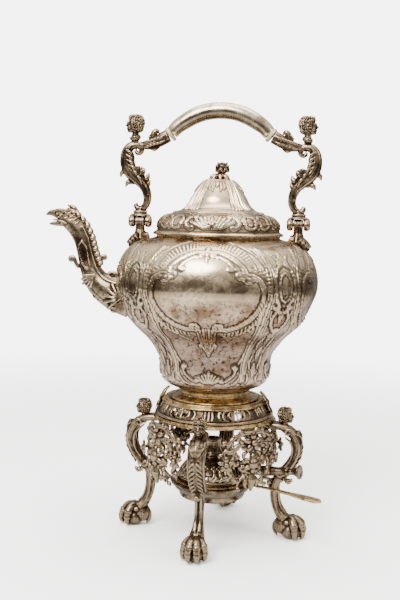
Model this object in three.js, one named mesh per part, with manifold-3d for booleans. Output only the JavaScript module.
// A tea kettle with a swing handle, on a four-legged stand with a spirit burner under it.
// Millimetres, +Z up. The spout points to -X and the front of the kettle faces -Y.
import * as THREE from "three";
import { mergeVertices } from "three/addons/utils/BufferGeometryUtils.js";
import Module from "manifold-3d";

const wasm = await Module();
wasm.setup();

// ---------- Driving dimensions ----------
const FIT = 0.3; // gap between two pieces that touch
const RUN = 0.5; // running clearance round a pin, a lid bezel or the burner
const WALL = 1.2; // sheet metal
const ROUND = 24; // sides of the large round pieces
const SMALL = 10; // sides of the small round pieces

// Stand
const SEAT_Z = 140.6; // top of the gallery, which carries the kettle
const GALLERY_TOP_R = 48;
const GALLERY_BASE_R = 61.5;
const GALLERY_H = 16;
const GALLERY_WALL = 2.2;
const BASE_RING_H = 4;
const STAND_TURN = -4; // degrees: the kettle is set down a little askew on its stand
const LEG_REACH = 81; // middle of a foot, from the axis
const SCROLL_H = 56; // C-scroll of a leg, from its top to the knee
const SCROLL_OUT = 23; // how far the C-scroll stands out from its ends
const LEG_HALF = 5; // half the thickness of a leg
const FOOT_H = 19;
const BUST_R = 8; // heads on the leg tops

// Kettle
const FOOT_R = 44.7;
const FOOT_RING_H = 10;
const SKIRT_R = 57.5;
const BELLY_R = 101.5;
const BODY_H = 151.4;
const MOUTH_RING_H = 2;
const MOUTH_R = 57;
const SPOUT_OUT = 76.8; // from the belly to the tip of the beak
const SPOUT_BORE_R = 5.2;

// Lid
const LID_OVERHANG = 8;
const LID_H = 57;
const BELL_R = 37; // foot of the lid's bell
const BEZEL_H = 8;
const BUD_R = 6.2;
const STUD_R = 2;
const NUT_H = 3;

// Handle
const LID_SIDE_GAP = 3.2; // between the lid's rim and a hinge knuckle
const KNUCKLE_HALF = 11.3;
const KNUCKLE_R = 5.4;
const LUG_HALF = 5; // middle lug of a knuckle, on the socket
const PIN_R = 2;
const SOCKET_H = 14.6; // hinge axis above the body's top edge
const ARM_H = 76; // from the hinge axis to the top of an arm
const GRIP_RISE = 23.6; // from the grip's ends to the top of its arch
const GRIP_INSET = 29.5; // from a hinge to the near end of the grip
const GRIP_R = 8.1;
const GRIP_END_R = 6.4;
const GRIP_WALL = 1;
const RING_T = 3; // thickness of an insulating ring

// Burner
const BOWL_DROP = 8.3; // bowl's rim below the knees
const LAMP_R = 34.6;
const BOWL_RIM = 8.4; // the bowl's rim stands out this far from the lamp
const BOWL_R = LAMP_R + BOWL_RIM;
const BOWL_H = 17;
const LAMP_H = 24; // reservoir above the bowl's rim
const TUBE_R = 8;
const TUBE_TOP = 19; // tube above the reservoir
const WICK_DEPTH = 8; // wick below the tube's mouth
const BURNER_TURN = -23; // degrees: direction of the burner's handle and lever
const LAMP_HANDLE_L = 73;
const LEVER_REACH = 121;
const LEVER_T = 1.4;

// ---------- Derived places ----------
const baseTopZ = SEAT_Z - GALLERY_H - FIT;
const baseZ = baseTopZ - BASE_RING_H;
const legTopZ = baseZ - FIT;
const legTopR = GALLERY_BASE_R + 3.5;
const kneeZ = legTopZ - SCROLL_H;
const kneeR = legTopR + 0.5;
const footRingZ = SEAT_Z + FIT;
const bodyZ = footRingZ + FOOT_RING_H + FIT;
const bodyTopZ = bodyZ + BODY_H;
const spoutReach = BELLY_R + SPOUT_OUT;
const spoutZ = bodyZ + BODY_H * 0.594;
const lidR = MOUTH_R + LID_OVERHANG;
const lidZ = bodyTopZ + FIT + MOUTH_RING_H + FIT;
const lidTopZ = lidZ + LID_H;
const hingeX = lidR + LID_SIDE_GAP + KNUCKLE_HALF;
const hingeZ = bodyTopZ + SOCKET_H;
const armTopZ = hingeZ + ARM_H;
const gripEndX = hingeX - GRIP_INSET;
const gripEndZ = armTopZ + 11;
const bowlRimZ = kneeZ - BOWL_DROP;
const bowlZ = bowlRimZ - BOWL_H;
const lampTopZ = bowlRimZ + LAMP_H;
const leverZ = bowlRimZ + FIT;
const axisX = (spoutReach - LEVER_REACH * Math.cos(THREE.MathUtils.degToRad(BURNER_TURN))) / 2;

// ---------- Finishes ----------
const SILVER = { color: 0xb8aa98, roughness: 0.34, metalness: 1 };
const DARK_SILVER = { color: 0x7d7064, roughness: 0.42, metalness: 1 };
const GILT = { color: 0xb99f70, roughness: 0.3, metalness: 1 };
const IVORY = { color: 0xe9ddb8, roughness: 0.45, metalness: 0 };
const COTTON = { color: 0xd9cfba, roughness: 0.95, metalness: 0 };

// ---------- Solid modelling ----------
function solid(geometry) {
  const bare = geometry.clone();
  bare.deleteAttribute("normal");
  bare.deleteAttribute("uv");
  const merged = mergeVertices(bare, 1e-4);
  const corners = merged.index.array;
  const kept = [];
  for (let i = 0; i < corners.length; i += 3) {
    const [a, b, c] = corners.subarray(i, i + 3);
    if (a !== b && b !== c && c !== a) kept.push(a, b, c);
  }
  const make = (triVerts) =>
    new wasm.Manifold(
      new wasm.Mesh({
        numProp: 3,
        vertProperties: merged.attributes.position.array,
        triVerts: new Uint32Array(triVerts),
      }),
    );
  const made = make(kept);
  return made.volume() > 0 ? made : make(kept.reverse());
}

const union = (...solids) => solids.reduce((all, one) => all.add(one));

// A body of revolution about Z from a profile of [radius, height] points.
function turned(profile, sides = ROUND) {
  const points = profile.map(([radius, height]) => new THREE.Vector2(radius, height));
  return solid(new THREE.LatheGeometry(points, sides).rotateX(Math.PI / 2));
}

const closedRing = (profile) => [...profile, profile[0]];

// The same profile moved inwards by the wall, for the inner side of a shell.
function inset(profile, wall) {
  return profile.map(([radius, height], i) => {
    const [r0, h0] = profile[Math.max(i - 1, 0)];
    const [r1, h1] = profile[Math.min(i + 1, profile.length - 1)];
    const length = Math.hypot(r1 - r0, h1 - h0);
    const inner = radius - (wall * (h1 - h0)) / length;
    return [radius === 0 ? 0 : Math.max(inner, 0), height + (wall * (r1 - r0)) / length];
  });
}

// A value read along an even list of values.
function along(values, t) {
  if (values.length === 1) return values[0];
  const place = t * (values.length - 1);
  const i = Math.min(Math.floor(place), values.length - 2);
  return values[i] + (values[i + 1] - values[i]) * (place - i);
}

// A rod along a curve. Its sections are ellipses: `wide` holds half sizes along `side`, and `thick`
// half sizes at right angles to it, both read evenly from one end to the other. `span` is the share
// of the curve that the rod takes.
function rod(points, wide, thick = wide, options = {}) {
  const { sides = 6, steps = 8, side = new THREE.Vector3(0, 1, 0), span = [0, 1] } = options;
  const curve = new THREE.CatmullRomCurve3(points.map((p) => new THREE.Vector3(...p)));
  const geometry = new THREE.CylinderGeometry(1, 1, 1, sides, steps);
  const place = geometry.getAttribute("position");
  for (let i = 0; i < place.count; i++) {
    const t = place.getY(i) + 0.5;
    const share = span[0] + (span[1] - span[0]) * t;
    const tangent = curve.getTangentAt(share);
    const up = new THREE.Vector3().crossVectors(tangent, side).normalize();
    const over = new THREE.Vector3().crossVectors(up, tangent);
    const point = curve.getPointAt(share);
    point.addScaledVector(over, place.getX(i) * along(wide, t));
    point.addScaledVector(up, place.getZ(i) * along(thick, t));
    place.setXYZ(i, point.x, point.y, point.z);
  }
  return solid(geometry);
}

function ball([x, y, z], [rx, ry, rz], sides = 8, rows = 5) {
  return solid(new THREE.SphereGeometry(1, sides, rows).scale(rx, ry, rz).translate(x, y, z));
}

function box([x0, y0, z0], [x1, y1, z1]) {
  const size = [x1 - x0, y1 - y0, z1 - z0];
  const middle = [(x0 + x1) / 2, (y0 + y1) / 2, (z0 + z1) / 2];
  return solid(new THREE.BoxGeometry(...size).translate(...middle));
}

// A round bar along X.
function barX(x0, x1, z, radius, sides = SMALL) {
  const bar = new THREE.CylinderGeometry(radius, radius, x1 - x0, sides);
  return solid(bar.rotateZ(Math.PI / 2).translate((x0 + x1) / 2, 0, z));
}

// A point at a radius, an angle in degrees and a height.
function polar(radius, degrees, height) {
  const angle = THREE.MathUtils.degToRad(degrees);
  return [radius * Math.cos(angle), radius * Math.sin(angle), height];
}

function piece(name, made, finish) {
  const { vertProperties, triVerts } = made.getMesh();
  const geometry = new THREE.BufferGeometry();
  geometry.setAttribute("position", new THREE.BufferAttribute(vertProperties, 3));
  geometry.setIndex(new THREE.BufferAttribute(triVerts, 1));
  geometry.computeVertexNormals();
  const mesh = new THREE.Mesh(geometry, new THREE.MeshStandardMaterial(finish));
  mesh.name = name;
  return mesh;
}

// ---------- Kettle ----------
// Outline of the body: radius, and height as a share of the body's own height.
const bodyOutline = [
  [0, 0],
  [SKIRT_R - 22, 0],
  [SKIRT_R - 13.5, 0.022],
  [SKIRT_R - 4, 0.07],
  [SKIRT_R, 0.14],
  [SKIRT_R + 3, 0.23],
  [SKIRT_R + 14, 0.345],
  [BELLY_R - 12.5, 0.46],
  [BELLY_R - 3.5, 0.59],
  [BELLY_R, 0.69],
  [BELLY_R - 1.5, 0.78],
  [BELLY_R - 6, 0.86],
  [BELLY_R - 13, 0.92],
  [BELLY_R - 23, 0.966],
  [MOUTH_R + 5, 1],
].map(([radius, share]) => [radius, bodyZ + share * BODY_H]);

const bodyBlock = turned([...inset(bodyOutline, -FIT), [0, bodyTopZ + FIT]]);

// The spout's line, in the plane of the spout: distance out from the belly, and height.
const inSpoutPlane = ([out, height]) => [-(BELLY_R + out), 0, spoutZ + height];
const spoutLine = [
  [-19, -1],
  [4, 0],
  [16, 3],
  [24.5, 11],
  [30, 24],
  [33.5, 38],
  [39, 51],
  [44.5, 61],
  [51.5, 70],
  [60, 77.5],
].map(inSpoutPlane);
const headShare = 0.68; // where the head is joined on, as a share of the line
const headGap = 0.003; // the fit there, as a share of the line

const boreLine = [
  [-26, -1],
  [4, 0],
  [16, 3],
  [24.5, 11],
  [30, 24],
  [33.5, 38],
  [39, 51],
  [45, 62],
  [53, 71],
  [64, 76.5],
  [80, 77],
].map(inSpoutPlane);

const spoutBore = rod(
  boreLine,
  [11, 10, 7.5, SPOUT_BORE_R + 0.8, SPOUT_BORE_R, SPOUT_BORE_R, 4.4, 2.6],
  [13, 12, 8, SPOUT_BORE_R + 0.8, SPOUT_BORE_R, SPOUT_BORE_R, 4.2, 1.8],
  { sides: 8, steps: 12 },
);

function kettleBody() {
  const inner = inset(bodyOutline, WALL);
  inner[inner.length - 1] = [MOUTH_R, bodyTopZ - WALL];
  const shell = turned([...bodyOutline, [MOUTH_R, bodyTopZ], ...inner.reverse()]);
  return shell.subtract(spoutBore);
}

function kettleFoot() {
  const height = FOOT_RING_H;
  const profile = [
    [FOOT_R, 0],
    [FOOT_R, 0.2 * height],
    [FOOT_R - 3.5, 0.33 * height],
    [SKIRT_R - 21, 0.58 * height],
    [SKIRT_R - 22.5, 0.8 * height],
    [SKIRT_R - 21.5, height],
    [SKIRT_R - 27, height],
    [SKIRT_R - 27, 0.6 * height],
    [FOOT_R - 6, 0],
  ];
  return turned(closedRing(profile.map(([radius, z]) => [radius, footRingZ + z])));
}

function ringPiece(inner, outer, bottom, top, sides = ROUND) {
  return turned(
    closedRing([
      [inner, bottom],
      [outer, bottom],
      [outer, top],
      [inner, top],
    ]),
    sides,
  );
}

const bezelR = MOUTH_R - 2; // outside of the lid's bezel

function spout() {
  const outer = rod(
    spoutLine,
    [19, 17.5, 14, 11.5, 10, 9, 8.4, 8.2],
    [27, 24, 18, 12.5, 10.8, 9.8, 9.1, 8.9],
    { sides: 10, steps: 9, span: [0, headShare] },
  );
  const curls = [[17, 39], [48.5, 39]].map((place) => ball(inSpoutPlane(place), [3.4, 2.6, 3.4], 6, 4));
  const stems = [
    rod([[26, 17], [19.5, 26], [17.5, 36]].map(inSpoutPlane), [2.4, 2], [2.4, 2], { steps: 3 }),
    rod([[36, 30], [44, 35], [48, 38]].map(inSpoutPlane), [2.4, 2], [2.4, 2], { steps: 3 }),
  ];
  const head = rod(spoutLine, [9], [10], { steps: 4, span: [headShare, 1] });
  return union(outer, ...curls, ...stems).subtract(bodyBlock).subtract(spoutBore).subtract(head);
}

function spoutHead() {
  const neck = rod(spoutLine, [8.2, 7.8, 7.2, 6.6], [8.9, 8.4, 8, 6.6], {
    sides: 10,
    steps: 5,
    span: [headShare + headGap, 1],
  });
  const beaks = [
    rod([[57, 79.5], [68, 82.5], [SPOUT_OUT, 82.6]].map(inSpoutPlane), [6, 4.4, 2.2], [6, 3.4, 1.9], {
      steps: 4,
    }),
    rod([[56, 74], [65, 74.5], [72.5, 70.8]].map(inSpoutPlane), [5.4, 4, 2], [4.4, 2.3, 1.7], { steps: 4 }),
  ];
  const crest = rod([[58, 80], [54, 88], [52.5, 91]].map(inSpoutPlane), [3.6, 2.6, 1.4], [7.5, 4.5, 2], {
    steps: 3,
  });
  const mane = rod(
    [[54, 88], [45, 82], [34, 73], [29.5, 62]].map(inSpoutPlane),
    [2.4, 2.6, 2.4, 1.2],
    [2, 6, 5.5, 1.4],
    { steps: 5 },
  );
  const backLine = [[56, 80], [48, 73], [40, 64]].map(inSpoutPlane);
  const back = rod(backLine, [3, 3.4, 2], [6, 6.5, 4], { steps: 3 });
  return union(neck, ...beaks, crest, mane, back).subtract(spoutBore);
}

// Shoulder socket: leaf-shaped foot on the shoulder, neck, and the middle lug of the hinge.
function socket(side) {
  const neck = rod(
    [
      [side * (hingeX + 2), 0, hingeZ - 33],
      [side * (hingeX + 0.5), 0, hingeZ - 20],
      [side * hingeX, 0, hingeZ - 10],
      [side * hingeX, 0, hingeZ - 3],
    ],
    [15, 11.5, 6.5, 3.6],
    [17, 11, 5.8, 4.2],
    { sides: 10, steps: 6 },
  );
  const lug = barX(side * hingeX - LUG_HALF, side * hingeX + LUG_HALF, hingeZ, KNUCKLE_R);
  const bore = barX(side * hingeX - LUG_HALF - 1, side * hingeX + LUG_HALF + 1, hingeZ, PIN_R + FIT);
  return union(neck, lug).subtract(bodyBlock).subtract(bore);
}

function hingePin(side) {
  const half = KNUCKLE_HALF - 0.8;
  return barX(side * hingeX - half, side * hingeX + half, hingeZ, PIN_R);
}

// ---------- Handle ----------
// An arm from its hinge fork up to the ferrule, with distances out from the hinge.
function handleArm(side) {
  const at = (out, height) => [side * (hingeX + out), 0, hingeZ + height];
  const fork = [-1, 1].map((way) => {
    const near = side * hingeX + way * (LUG_HALF + FIT);
    const far = side * hingeX + way * KNUCKLE_HALF;
    const [x0, x1] = [Math.min(near, far), Math.max(near, far)];
    const bead = barX(x0, x1, hingeZ, KNUCKLE_R);
    return bead.add(box([x0, -2.6, hingeZ], [x1, 2.6, hingeZ + KNUCKLE_R + 2]));
  });
  const boreHalf = KNUCKLE_HALF + 1;
  const bore = barX(side * hingeX - boreHalf, side * hingeX + boreHalf, hingeZ, PIN_R + FIT);
  const bridgeOutline = [
    [0, KNUCKLE_R + FIT],
    [KNUCKLE_HALF - 1.8, KNUCKLE_R + FIT],
    [KNUCKLE_HALF - 1.8, KNUCKLE_R + 2.2],
    [KNUCKLE_HALF - 3.8, KNUCKLE_R + 4.4],
    [0, KNUCKLE_R + 4.4],
  ];
  const disc = turned(bridgeOutline, SMALL);
  const bridge = disc.scale([1, 0.62, 1]).translate([side * hingeX, 0, hingeZ]);
  const scroll = rod(
    [
      at(3.5, 14.2),
      at(-2.5, 12.8),
      at(-6.5, 18),
      at(-6.6, 26),
      at(-3, 35),
      at(3.5, 41.8),
      at(10.5, 47),
      at(15.5, 56),
      at(15.8, 65),
      at(12, 73.5),
      at(5, 76.5),
      at(-1.8, ARM_H),
    ],
    [3.2, 3.4, 3.5, 4.2, 4.8, 5, 5, 4.6, 4, 3.6],
    [3.2, 3, 3.4, 4, 4.8, 5.2, 5, 4.8, 4.4, 4],
    { sides: 6, steps: 16 },
  );
  const volutes = [
    ball(at(4.2, 14), [4.4, 3.6, 4.4], 6, 4),
    ball(at(5.6, 74), [6.4, 4.4, 6.4], 6, 4),
    ball(at(1.6, 50.8), [5.6, 4.4, 4.8], 6, 4),
  ];
  return union(scroll, bridge, ...fork, ...volutes).subtract(bore);
}

// The ferrule's line, from the arm's top to the insulating ring.
const ferruleLine = (side) => [
  [side * (hingeX - 2.4), 0, armTopZ],
  [side * (hingeX - 11), 0, armTopZ + 1],
  [side * (hingeX - 20), 0, armTopZ + 5],
  [side * (gripEndX + 1.6), 0, gripEndZ - 1.3],
];

function armBust(side) {
  const x = side * (hingeX + 7.5);
  const z = armTopZ + 21;
  const head = ball([x, 0, z], [7.8, 7.6, 9.8]);
  const neck = rod([[x, 0, z - 3], [x - 1, 0, z - 19]], [4, 3.8], [4, 4.2], { steps: 2 });
  return union(head, neck).subtract(handleArmGrown(side));
}

// The top of an arm with the fit added, to cut what sits on it.
function handleArmGrown(side) {
  const at = (out, height) => [side * (hingeX + out), 0, hingeZ + height];
  const top = rod(
    [at(15.5, 56), at(15.8, 65), at(12, 73.5), at(5, 76.5), at(-1.8, ARM_H)],
    [5.4, 5, 4.6, 4.3],
    [5.4, 5, 5, 4.6],
    { sides: 8, steps: 8 },
  );
  return top.add(ball(at(5.6, 74), [7, 5, 7], 8, 5));
}

const tenonR = GRIP_END_R - GRIP_WALL - FIT;

function ferrule(side) {
  const line = ferruleLine(side);
  const outer = rod(line, [4.4, 5.4, 6.2, GRIP_END_R], [4, 5.2, 6.2, GRIP_END_R], { sides: 10, steps: 6 });
  const leaf = ball([side * (hingeX - 16), 0, armTopZ - 0.5], [7, 4.5, 2.6], 8, 5);
  const tip = rod(
    [
      [side * (hingeX - 12), 0, armTopZ + 4],
      [side * (hingeX - 16), 0, armTopZ + 11],
      [side * (hingeX - 17.5), 0, armTopZ + 13.5],
    ],
    [3.4, 2.4, 1.2],
    [3, 2, 1.2],
    { steps: 4 },
  );
  const hole = tenon(side, tenonR + FIT, 6);
  const ring = tenon(side, GRIP_END_R + 3, RING_T / 2 + FIT);
  return union(outer, leaf, tip).subtract(handleArmGrown(side)).subtract(hole).subtract(ring);
}

// Direction of the grip at its end, level with the insulating ring.
const endSlope = Math.atan2(GRIP_RISE * 0.5, gripEndX * 0.28);

// A short round bar through the insulating ring, along the grip's end direction.
function tenon(side, radius, half) {
  const bar = new THREE.CylinderGeometry(radius, radius, 2 * half, SMALL);
  bar.rotateX(Math.PI / 2).rotateY(side * (endSlope - Math.PI / 2));
  return solid(bar.translate(side * gripEndX, 0, gripEndZ));
}

function insulator(side) {
  return tenon(side, GRIP_END_R + 1.4, RING_T / 2).add(tenon(side, tenonR, 5.5));
}

function grip() {
  const cut = RING_T / 2 + FIT;
  const startX = gripEndX - cut * Math.cos(endSlope);
  const startZ = gripEndZ + cut * Math.sin(endSlope);
  const top = gripEndZ + GRIP_RISE;
  const line = [
    [-startX, 0, startZ],
    [-gripEndX * 0.72, 0, gripEndZ + GRIP_RISE * 0.5],
    [-gripEndX * 0.36, 0, gripEndZ + GRIP_RISE * 0.89],
    [0, 0, top],
    [gripEndX * 0.36, 0, gripEndZ + GRIP_RISE * 0.89],
    [gripEndX * 0.72, 0, gripEndZ + GRIP_RISE * 0.5],
    [startX, 0, startZ],
  ];
  const sizes = [GRIP_END_R, GRIP_R - 0.5, GRIP_R, GRIP_R - 0.5, GRIP_END_R];
  const bores = sizes.map((size) => size - GRIP_WALL);
  const outer = rod(line, sizes, sizes, { sides: 10, steps: 10 });
  const inner = rod(line, bores, bores, { sides: 10, steps: 10 });
  return outer.subtract(inner).subtract(tenon(-1, tenonR + FIT, 7)).subtract(tenon(1, tenonR + FIT, 7));
}

// ---------- Lid ----------
const lidOutline = [
  [lidR, 0],
  [lidR, 2.2],
  [lidR - 3.5, 4],
  [lidR - 4.2, 8.5],
  [lidR - 7.5, 15],
  [lidR - 16, 20.5],
  [BELL_R, 25],
  [BELL_R - 7, 32.5],
  [BELL_R - 12, 41.5],
  [BELL_R - 18, 49.5],
  [BELL_R - 26, 55],
  [STUD_R + FIT, LID_H],
].map(([radius, height]) => [radius, lidZ + height]);

function lidDome() {
  const inner = inset(lidOutline.slice(3), WALL).reverse();
  return turned(
    closedRing([...lidOutline, ...inner, [bezelR + FIT, lidZ + 2], [bezelR + FIT, lidZ]]),
  );
}

function finialCalyx() {
  const bottom = lidTopZ + FIT;
  return turned(
    closedRing([
      [STUD_R + FIT, bottom],
      [4.4, bottom],
      [9.6, bottom + 1.6],
      [9.2, bottom + 2.6],
      [STUD_R + FIT, bottom + 2.6],
    ]),
    SMALL,
  );
}

const budLean = 3; // the bud leans over to one side
const budZ = lidTopZ + FIT + 2.6 + FIT + BUD_R - 0.4;

function finialBud() {
  const bottom = budZ - BUD_R + 0.4;
  const bud = ball([budLean, 0, budZ + 0.6], [BUD_R, BUD_R, BUD_R], 10, 7);
  const stem = rod([[0, 0, bottom], [1, 0, budZ]], [4, 4.6], [4, 4.6], { steps: 2 });
  const slab = box([-20, -20, bottom - 10], [20, 20, bottom]);
  const holeR = STUD_R + FIT;
  const hole = turned([[0, bottom - 2], [holeR, bottom - 2], [holeR, budZ + 1], [0, budZ + 1]], SMALL);
  return union(bud, stem).subtract(slab).subtract(hole);
}

function finialStud() {
  const bottom = lidTopZ - WALL - FIT - NUT_H - 1;
  const top = budZ + 1 - FIT;
  return turned([[0, bottom], [STUD_R, bottom], [STUD_R, top], [0, top]], SMALL);
}

function finialNut() {
  const top = lidTopZ - WALL - 2 * FIT - 1;
  return ringPiece(STUD_R + FIT, 4.6, top - NUT_H, top, 6);
}

// ---------- Stand ----------
const galleryOutline = [
  [GALLERY_BASE_R - 1.5, 0],
  [GALLERY_BASE_R - 1.8, 2],
  [GALLERY_TOP_R + 1.5, GALLERY_H - 2.6],
  [GALLERY_TOP_R, GALLERY_H],
];

function galleryRing() {
  const bottom = SEAT_Z - GALLERY_H;
  const inner = [
    [FOOT_R - 6, GALLERY_H],
    [FOOT_R - 6, GALLERY_H - GALLERY_WALL],
    [GALLERY_TOP_R - 1.4, GALLERY_H - GALLERY_WALL],
    [GALLERY_BASE_R - 1.8 - 1.6 * GALLERY_WALL, 1.5],
    [GALLERY_BASE_R - 1.5 - 1.8 * GALLERY_WALL, 0],
  ];
  const profile = [...galleryOutline, ...inner].map(([radius, z]) => [radius, bottom + z]);
  const ovals = [60, 120, 240, 300].map((degrees) => {
    const tool = new THREE.CylinderGeometry(1, 1, 30, 8).scale(4.6, 1, 10.5);
    const angle = THREE.MathUtils.degToRad(degrees);
    tool.rotateZ(Math.PI / 2 - 0.6).translate(GALLERY_TOP_R + 6, 0, bottom + GALLERY_H / 2);
    return solid(tool.rotateZ(angle));
  });
  return ovals.reduce((ring, oval) => ring.subtract(oval), turned(closedRing(profile)));
}

function galleryBase() {
  return turned(
    closedRing([
      [GALLERY_BASE_R - 6, baseZ],
      [GALLERY_BASE_R - 1, baseZ],
      [GALLERY_BASE_R, baseZ + 1.4],
      [GALLERY_BASE_R - 0.6, baseTopZ],
      [GALLERY_BASE_R - 6, baseTopZ],
    ]),
  );
}

// One leg in its own frame: X points out from the axis. `grow` adds a fit for cutting neighbours.
function legShape(grow = 0) {
  const half = LEG_HALF + grow;
  const low = (share) => FOOT_H * 0.7 + (kneeZ - FOOT_H * 0.7) * share;
  const line = [
    [legTopR + 3, 0, legTopZ - 5],
    [legTopR + 0.66 * SCROLL_OUT, 0, legTopZ - 0.2 * SCROLL_H],
    [legTopR + 0.98 * SCROLL_OUT, 0, legTopZ - 0.37 * SCROLL_H],
    [legTopR + SCROLL_OUT, 0, legTopZ - 0.57 * SCROLL_H],
    [legTopR + 0.86 * SCROLL_OUT, 0, legTopZ - 0.77 * SCROLL_H],
    [legTopR + 0.5 * SCROLL_OUT, 0, legTopZ - 0.93 * SCROLL_H],
    [kneeR + 2.5, 0, kneeZ - 2],
    [kneeR - 0.8, 0, low(0.8)],
    [kneeR - 1, 0, low(0.6)],
    [kneeR + 0.8, 0, low(0.38)],
    [kneeR + 4.5, 0, low(0.18)],
    [LEG_REACH - 4, 0, low(0)],
  ];
  const thick = [4, 5, 5, 5, 5, 4.8, 4.4, 4.2, 4, 4.2, 4.6].map((size) => size + grow);
  const scroll = rod(line, [half, half, half, half, 4.6 + grow, 4.4 + grow, 4.8 + grow], thick, {
    sides: 6,
    steps: 15,
  });
  const plate = box(
    [GALLERY_BASE_R - 5 - grow, -half, legTopZ - 9 - grow],
    [legTopR + 6 + grow, half, legTopZ],
  );
  return union(scroll, plate);
}

function leg() {
  const spur = rod(
    [[kneeR + 6, 0, kneeZ - 1], [kneeR + 11, 0, kneeZ - 5], [kneeR + 14.5, 0, kneeZ - 3]],
    [3.6, 3, 1.4],
    [2.6, 2.2, 1.2],
    { steps: 4 },
  );
  const paw = ball([LEG_REACH + 0.5, 0, FOOT_H / 2 + 0.2], [16, 12.5, FOOT_H / 2 + 1], 10, 6);
  const ground = box([0, -40, -10], [2 * LEG_REACH, 40, 0]);
  return union(legShape(), spur, paw).subtract(ground);
}

const bustR = legTopR + 9.2; // middle of a head on a leg

function legBust() {
  const z = legTopZ + 6.5;
  const head = ball([bustR, 0, z], [BUST_R + 0.4, BUST_R, BUST_R + 2]);
  const chest = rod([[bustR, 0, z - 4], [bustR + 0.5, 0, z - 14]], [4.4, 4.6], [4.4, 4], { steps: 2 });
  const ring = ringPiece(1, GALLERY_BASE_R + 2, baseZ - FIT, SEAT_Z);
  return union(head, chest).subtract(legShape(FIT)).subtract(ring);
}

// A pierced apron between two legs, in a frame whose X points out half way between them.
const apronR = GALLERY_BASE_R + 3.5;
const legAngle = 45;

function apron() {
  const top = legTopZ;
  const side = new THREE.Vector3(1, 0, 0);
  const strap = (points, wide, thick, steps = 3) =>
    rod(points.map((p) => polar(...p)), wide, thick, { sides: 4, steps, side });
  const middle = [
    strap(
      [
        [GALLERY_BASE_R - 3, 0, top + 1],
        [apronR, 0, top - 11],
      ],
      [3, 2.6],
      [3, 5],
      2,
    ),
    ball(polar(apronR, 0, top - 11.5), [3.2, 7.6, 7.6], 8, 4),
    ball(polar(apronR, 0, top - 31.5), [5.4, 8.4, 8.4], 8, 4),
    strap(
      [
        [apronR, 0, top - 34],
        [apronR - 1, 0, top - 50],
        [apronR - 2.5, 0, top - 61],
      ],
      [2.6, 1.4],
      [6.5, 1.6],
    ),
  ];
  const sides = [-1, 1].flatMap((way) => [
    strap(
      [
        [apronR, way * 5, top - 13],
        [apronR + 1.5, way * 15, top - 15],
        [apronR + 2, way * 18, top - 24],
        [apronR, way * 11, top - 34],
        [apronR, way * 4, top - 35],
      ],
      [2.6, 2.8, 2.6],
      [3, 3.4, 3],
      6,
    ),
    strap(
      [
        [apronR + 1.5, way * 16, top - 22],
        [apronR + 7, way * 25, top - 29],
      ],
      [2.4],
      [3],
      1,
    ),
    ball(polar(apronR + 6.5, way * 24.5, top - 29), [4.2, 5.8, 5.8], 6, 4),
    strap(
      [
        [apronR + 6, way * 25, top - 26],
        [apronR + 14, way * 34, top - 21],
        [legTopR + SCROLL_OUT - 1, way * legAngle, top - 21],
      ],
      [2.2, 2],
      [3.6, 2.6],
      2,
    ),
    strap(
      [
        [apronR, way * 4, top - 40],
        [apronR - 1.5, way * 12, top - 52],
        [apronR - 3, way * 15.5, top - 60.5],
      ],
      [2, 1.3],
      [4, 1.6],
      2,
    ),
  ]);
  const neighbours = [-1, 1].map((way) => legShape(FIT).rotate([0, 0, way * legAngle]));
  const above = ringPiece(1, GALLERY_BASE_R + 2, legTopZ, SEAT_Z);
  return union(...middle, ...sides).subtract(neighbours[0]).subtract(neighbours[1]).subtract(above);
}

function scrollBracket() {
  const slope = (GALLERY_BASE_R - GALLERY_TOP_R) / GALLERY_H;
  const out = (z) => GALLERY_TOP_R + slope * (SEAT_Z - z);
  const at = (off, z) => [out(z) + off, 0, z];
  const strap = rod(
    [
      [FOOT_R + 2.4, 0, SEAT_Z + 9],
      [FOOT_R + 5.6, 0, SEAT_Z + 3],
      at(4.2, SEAT_Z - 4),
      at(3.2, SEAT_Z - 11),
    ],
    [2, 4.6, 5, 4],
    [1.2, 2, 2.4, 2.4],
    { steps: 6 },
  );
  const volute = ball(at(3.4, SEAT_Z - 12.2), [3, 4.4, 3], 8, 5);
  const cone = turned([
    [0, SEAT_Z - GALLERY_H - 20],
    [GALLERY_BASE_R + FIT, SEAT_Z - GALLERY_H - 20],
    [GALLERY_BASE_R + FIT, SEAT_Z - GALLERY_H + 2.2],
    [GALLERY_TOP_R + 1.5 + 1.4 * FIT, SEAT_Z - 2.6 + FIT],
    [GALLERY_TOP_R + FIT, SEAT_Z + FIT],
    [0, SEAT_Z + FIT],
  ]);
  return union(strap, volute).subtract(cone);
}

function bowlBracket() {
  const inward = (share) => kneeR - share * (kneeR - BOWL_R);
  const arm = rod(
    [
      [kneeR, 0, kneeZ - 9],
      [inward(16 / 45), 0, kneeZ - 3],
      [inward(2 / 3), 0, kneeZ - 5],
      [BOWL_R - 3, 0, bowlRimZ - 3.5],
    ],
    [3.6, 3.4, 3.2, 3],
    [2.6, 3, 2.6, 1.6],
    { steps: 8 },
  );
  return arm.subtract(legShape(FIT)).subtract(bowlBlock());
}

// ---------- Burner ----------
const bowlOutline = [
  [0, bowlZ],
  [LAMP_R - 3.6, bowlZ],
  [LAMP_R - 1.2, bowlZ + 1.5],
  [LAMP_R - 1.2, bowlZ + 6],
  [LAMP_R + 2.4, bowlZ + 8],
  [BOWL_R - 2.5, bowlRimZ - 4.5],
  [BOWL_R, bowlRimZ - 2],
  [BOWL_R, bowlRimZ],
];

const bowlBlock = () => turned([...inset(bowlOutline, -FIT), [0, bowlRimZ + FIT]]);

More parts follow.
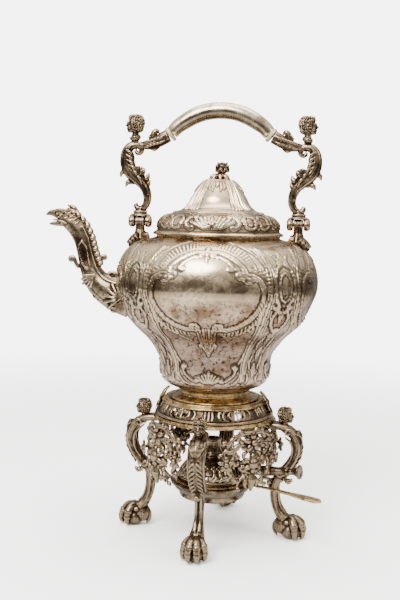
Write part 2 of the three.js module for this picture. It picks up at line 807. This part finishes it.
function burnerBowl() {
  return turned([
    ...bowlOutline,
    [LAMP_R + 2.9, bowlRimZ],
    [LAMP_R + 1.9, bowlRimZ - 4],
    [LAMP_R - 0.6, bowlRimZ - 8.5],
    [LAMP_R - 3.8, bowlRimZ - 9.6],
    [LAMP_R - 3.8, bowlZ + 2.3],
    [0, bowlZ + 2.3],
  ]);
}

const lampOutline = [
  [0, bowlZ + 2.6],
  [LAMP_R - 4.3, bowlZ + 2.6],
  [LAMP_R - 4.3, bowlRimZ - 9],
  [LAMP_R - 1.6, bowlRimZ - 7],
  [LAMP_R, bowlRimZ - 3],
  [LAMP_R, bowlRimZ + 6],
  [LAMP_R - 1.6, bowlRimZ + 9],
  [LAMP_R - 6.6, lampTopZ - 8],
  [LAMP_R - 14.6, lampTopZ - 2.5],
  [TUBE_R + 3.5, lampTopZ],
];

function lampReservoir() {
  const inner = inset(lampOutline, WALL).reverse();
  inner[0] = [TUBE_R + FIT, lampTopZ - WALL];
  return turned([...lampOutline, [TUBE_R + FIT, lampTopZ], ...inner], 18);
}

function wickTube() {
  const flange = lampTopZ + FIT;
  return turned(
    closedRing([
      [TUBE_R, lampTopZ - 14],
      [TUBE_R, flange],
      [TUBE_R + 4, flange],
      [TUBE_R + 3.4, flange + 2],
      [TUBE_R + 0.8, flange + 6],
      [TUBE_R - 0.4, flange + 10],
      [TUBE_R + 0.2, lampTopZ + TUBE_TOP],
      [TUBE_R - WALL, lampTopZ + TUBE_TOP],
      [TUBE_R - WALL - 0.4, lampTopZ - 14],
    ]),
    12,
  );
}

function wick() {
  const radius = TUBE_R - WALL - 0.4 - FIT;
  const bottom = bowlZ + 2.6 + WALL + FIT;
  const top = lampTopZ + TUBE_TOP - WICK_DEPTH;
  return turned([[0, bottom], [radius, bottom], [radius, top], [0, top]], 12);
}

const lampHandleTilt = THREE.MathUtils.degToRad(7.5);
const lampHandleStart = [LAMP_R - 9, 0, bowlRimZ + 13.6];

// Pieces turned about the handle's own line, which leaves the reservoir and rises a little.
function onHandleLine(profile, sides) {
  const made = new THREE.LatheGeometry(profile.map(([r, l]) => new THREE.Vector2(r, l)), sides);
  made.rotateZ(-Math.PI / 2).rotateY(-lampHandleTilt).translate(...lampHandleStart);
  return solid(made);
}

function lampHandle() {
  const profile = [
    [0, 0],
    [3.6, 0],
    [3.6, 24],
    [5.2, 30],
    [5.6, 42],
    [3, 61],
    [3.8, 64],
    [2.2, 67],
    [2.2, LAMP_HANDLE_L - 3],
    [0, LAMP_HANDLE_L - 3],
  ];
  const lamp = turned([...inset(lampOutline, -FIT), [0, lampTopZ + 1]], 18);
  return onHandleLine(profile, 10).subtract(lamp);
}

function lampKnob() {
  const start = LAMP_HANDLE_L - 3 + FIT;
  return onHandleLine(
    [[0, start], [2.4, start], [3.4, start + 3], [7.2, start + 8], [7.2, start + 9.2], [0, start + 9.2]],
    SMALL,
  );
}

function regulator() {
  const ring = ringPiece(LAMP_R + RUN + 0.2, BOWL_R - 3, leverZ, leverZ + LEVER_T, 24);
  const outline = new THREE.Shape();
  outline.moveTo(LAMP_R + 2, -2.2);
  outline.lineTo(LEVER_REACH * 0.68, -2.2);
  outline.quadraticCurveTo(LEVER_REACH * 0.8, -4.4, LEVER_REACH - 6, -4);
  outline.lineTo(LEVER_REACH, 0);
  outline.lineTo(LEVER_REACH - 6, 4);
  outline.quadraticCurveTo(LEVER_REACH * 0.8, 4.4, LEVER_REACH * 0.68, 2.2);
  outline.lineTo(LAMP_R + 2, 2.2);
  outline.closePath();
  const thick = { depth: LEVER_T, bevelEnabled: false, curveSegments: 4 };
  const strip = new THREE.ExtrudeGeometry(outline, thick);
  return ring.add(solid(strip.translate(0, 0, leverZ)));
}

// ---------- Assembly ----------
const service = new THREE.Group();
service.position.x = axisX;

const kettle = new THREE.Group();
kettle.add(piece("kettle_body", kettleBody(), SILVER));
kettle.add(piece("kettle_foot", kettleFoot(), GILT));
kettle.add(piece("mouth_ring", ringPiece(MOUTH_R - 1.4, MOUTH_R + 5, bodyTopZ + FIT, lidZ - FIT), SILVER));
kettle.add(piece("spout", spout(), SILVER));
kettle.add(piece("spout_head", spoutHead(), DARK_SILVER));
service.add(kettle);

const lid = new THREE.Group();
lid.add(piece("lid_dome", lidDome(), SILVER));
lid.add(piece("lid_bezel", ringPiece(bezelR - WALL, bezelR, lidZ - BEZEL_H, lidZ + 1.6), SILVER));
lid.add(piece("finial_calyx", finialCalyx(), SILVER));
lid.add(piece("finial_bud", finialBud(), SILVER));
lid.add(piece("finial_stud", finialStud(), SILVER));
lid.add(piece("finial_nut", finialNut(), SILVER));
service.add(lid);

const handle = new THREE.Group();
const sideNames = [
  [-1, "left"],
  [1, "right"],
];
for (const [side, word] of sideNames) {
  kettle.add(piece(`socket_${word}`, socket(side), SILVER));
  kettle.add(piece(`hinge_pin_${word}`, hingePin(side), DARK_SILVER));
  handle.add(piece(`handle_arm_${word}`, handleArm(side), DARK_SILVER));
  handle.add(piece(`arm_bust_${word}`, armBust(side), DARK_SILVER));
  handle.add(piece(`ferrule_${word}`, ferrule(side), SILVER));
  handle.add(piece(`insulator_${word}`, insulator(side), IVORY));
}
handle.add(piece("grip", grip(), SILVER));
service.add(handle);

const stand = new THREE.Group();
stand.rotation.z = THREE.MathUtils.degToRad(STAND_TURN);
stand.add(piece("gallery_ring", galleryRing(), SILVER));
stand.add(piece("gallery_base", galleryBase(), GILT));
stand.add(piece("burner_bowl", burnerBowl(), DARK_SILVER));
const legNames = ["right", "back", "left", "front"];
const apronNames = ["back_right", "back_left", "front_left", "front_right"];
legNames.forEach((word, i) => {
  const quarter = new THREE.Group();
  quarter.rotation.z = (i * Math.PI) / 2;
  quarter.add(piece(`leg_${word}`, leg(), DARK_SILVER));
  quarter.add(piece(`leg_bust_${word}`, legBust(), DARK_SILVER));
  quarter.add(piece(`bowl_bracket_${word}`, bowlBracket(), DARK_SILVER));
  if (i % 2 === 0) quarter.add(piece(`scroll_bracket_${word}`, scrollBracket(), SILVER));
  stand.add(quarter);
  const between = new THREE.Group();
  between.rotation.z = (i * Math.PI) / 2 + THREE.MathUtils.degToRad(legAngle);
  between.add(piece(`apron_${apronNames[i]}`, apron(), DARK_SILVER));
  stand.add(between);
});
service.add(stand);

const burner = new THREE.Group();
burner.rotation.z = THREE.MathUtils.degToRad(BURNER_TURN);
burner.add(piece("lamp_reservoir", lampReservoir(), DARK_SILVER));
burner.add(piece("wick_tube", wickTube(), SILVER));
burner.add(piece("wick", wick(), COTTON));
burner.add(piece("lamp_handle", lampHandle(), DARK_SILVER));
burner.add(piece("lamp_knob", lampKnob(), DARK_SILVER));
burner.add(piece("regulator", regulator(), GILT));
service.add(burner);

export default service;
